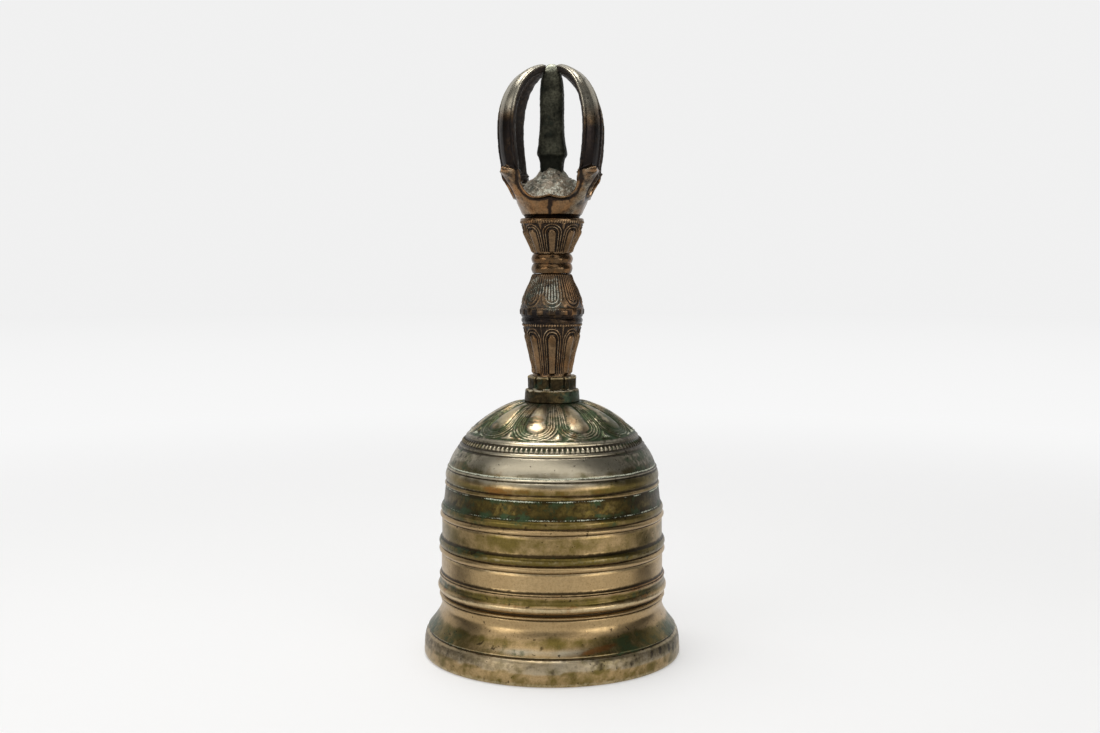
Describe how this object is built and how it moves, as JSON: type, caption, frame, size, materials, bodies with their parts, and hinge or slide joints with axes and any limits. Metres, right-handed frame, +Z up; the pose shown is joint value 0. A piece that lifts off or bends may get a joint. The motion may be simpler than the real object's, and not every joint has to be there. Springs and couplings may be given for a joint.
{
  "type": "hand bell",
  "caption": "Cast bronze hand bell with moulded body, petalled dome, baluster grip, caged prong finial and a hanging clapper.",
  "frame": {"origin": "centre of the mouth, on the surface that the bell stands on", "axes": "+Z up along the bell's axis, -Y towards the front view"},
  "size_m": [0.0884, 0.0884, 0.2],
  "materials": {
    "body_bronze": "aged golden bronze with green patina in the grooves",
    "collar_bronze": "dull bronze, rough edges",
    "handle_bronze": "dark handled bronze, blackened recesses",
    "rough_bronze": "black green, rough cast",
    "iron": "forged, brown rust bloom"
  },
  "bodies": {
    "bell": {"bell_body": "body_bronze", "lower_collar": "collar_bronze", "upper_collar": "collar_bronze", "grip_baluster": "handle_bronze", "neck_ring": "handle_bronze", "lotus_cup": "handle_bronze", "prong_crown": "handle_bronze", "centre_prong": "rough_bronze", "crown_washer": "iron", "tang_wedge": "iron"},
    "swivel": {"swivel_ring": "iron"},
    "clapper": {"clapper_shank": "iron", "clapper_bob": "iron"}
  },
  "joints": [
    {"name": "swivel_swing", "type": "hinge", "parent": "bell", "child": "swivel", "pos_m": [0, 0, 0.0711], "axis": [0, 1, 0], "range_deg": [-20, 20]},
    {"name": "clapper_swing", "type": "hinge", "parent": "swivel", "child": "clapper", "pos_m": [0, 0, 0.0657], "axis": [1, 0, 0], "range_deg": [-20, 20]}
  ]
}
